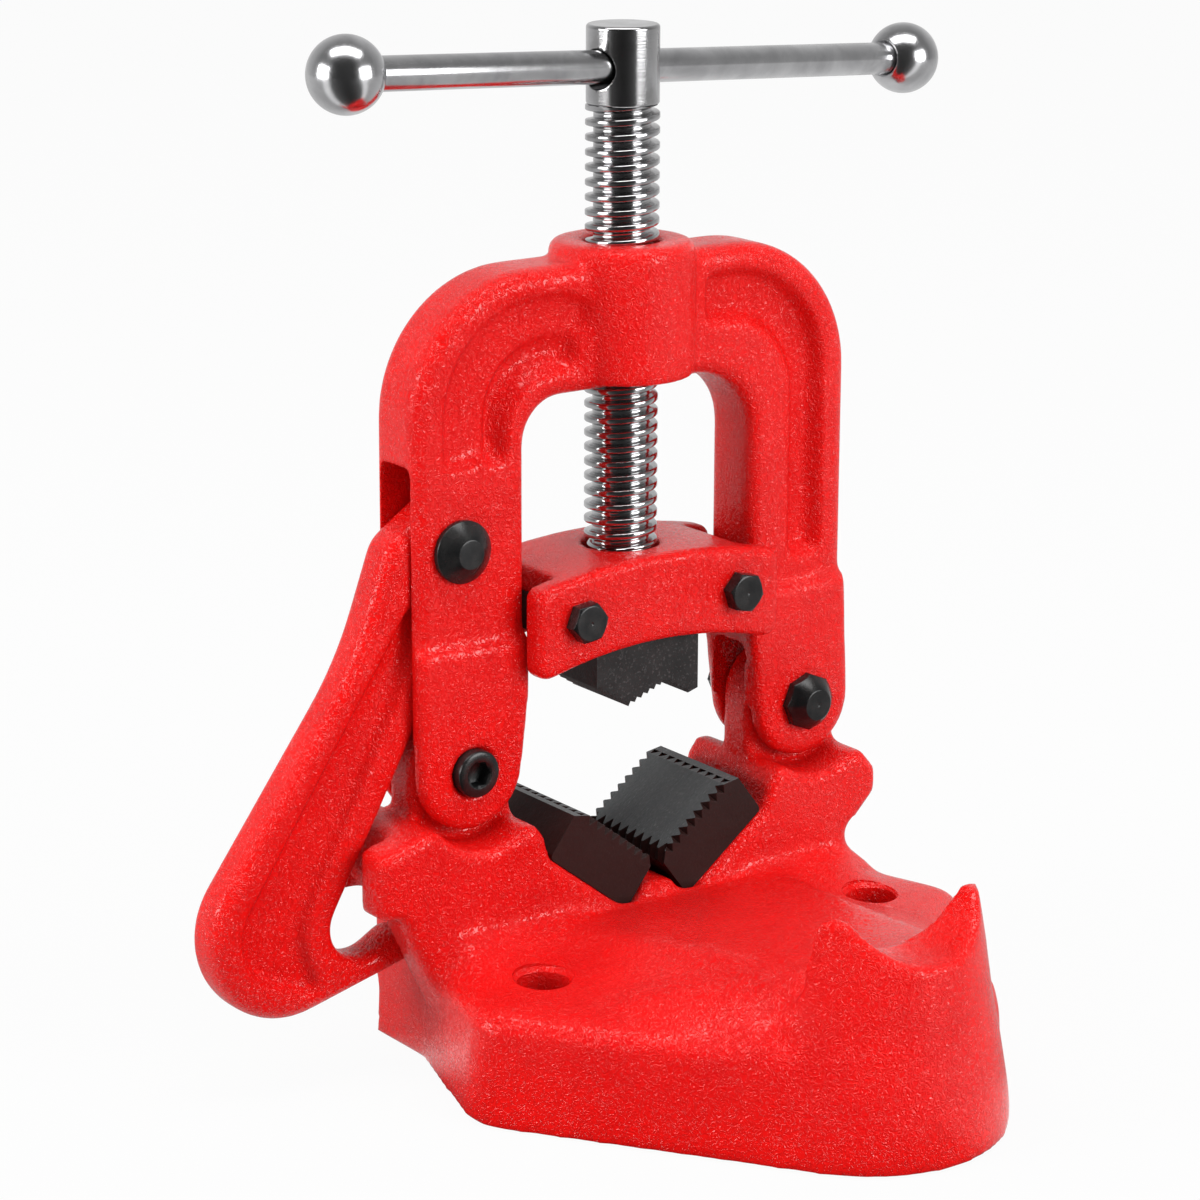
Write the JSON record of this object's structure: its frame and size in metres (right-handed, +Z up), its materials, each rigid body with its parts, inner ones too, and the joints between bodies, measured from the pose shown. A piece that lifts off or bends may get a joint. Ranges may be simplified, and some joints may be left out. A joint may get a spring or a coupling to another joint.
{
  "type": "pipe vise",
  "caption": "Bench pipe vise with a hinged yoke held by a swinging hook, a screw-driven upper jaw, toothed lower jaws and a front pipe rest.",
  "frame": {"origin": "on the bench face, under the axis of the main screw", "axes": "+Z up along the main screw, +X to the hinge pin of the yoke, -Y to the pipe rest"},
  "size_m": [0.2557, 0.1703, 0.2796],
  "materials": {
    "red_paint": "thick glossy red paint over a rough casting",
    "jaw_steel": "blackened, satin, with ground edges",
    "black_oxide": "black oxide, satin",
    "screw_steel": "turned, bright",
    "bar_steel": "fine brushed, bright"
  },
  "bodies": {
    "base": {"base_casting": "red_paint", "lower_jaw_left": "jaw_steel", "lower_jaw_right": "jaw_steel", "lower_jaw_screws": "black_oxide"},
    "yoke_frame": {"yoke": "red_paint", "hinge_pin": "black_oxide", "hinge_pin_washer": "black_oxide", "hinge_pin_nut": "black_oxide", "latch_pin": "black_oxide", "latch_pin_washer": "black_oxide", "latch_pin_clip": "black_oxide", "cross_bolt": "black_oxide", "cross_bolt_nut": "black_oxide"},
    "hook": {"latch_hook": "red_paint"},
    "holder": {"jaw_holder": "red_paint", "upper_jaw": "jaw_steel", "jaw_bolts": "black_oxide", "jaw_bolt_nuts": "black_oxide"},
    "screw": {"main_screw": "screw_steel", "thrust_washer": "screw_steel", "screw_retaining_washer": "black_oxide", "screw_retaining_ring": "black_oxide"},
    "bar": {"handle_bar": "bar_steel", "handle_ball_left": "bar_steel", "handle_ball_right": "bar_steel"}
  },
  "joints": [
    {"name": "yoke_open", "type": "hinge", "parent": "base", "child": "yoke_frame", "pos_m": [0.0564, 0, 0.0813], "axis": [0, 1, 0], "range_deg": [0, 78]},
    {"name": "hook_swing", "type": "hinge", "parent": "yoke_frame", "child": "hook", "pos_m": [-0.059, 0, 0.142], "axis": [0, 1, 0], "range_deg": [0, 78.2]},
    {"name": "jaw_travel", "type": "slide", "parent": "yoke_frame", "child": "holder", "axis": [0, 0, 1], "range_m": [-0.0301, 0.0381]},
    {"name": "screw_turn", "type": "hinge", "parent": "holder", "child": "screw", "pos_m": [0, 0, 0.2], "axis": [0, 0, 1], "range_deg": [-2700, 3420]},
    {"name": "bar_slide", "type": "slide", "parent": "screw", "child": "bar", "axis": [0.9859, 0.1526, -0.068], "range_m": [-0.09, 0.074]}
  ],
  "couplings": [
    {"joint": "hook_swing", "follows": "yoke_open", "ratio": 1},
    {"joint": "jaw_travel", "follows": "screw_turn", "m_per_rad": 0.00063662}
  ]
}
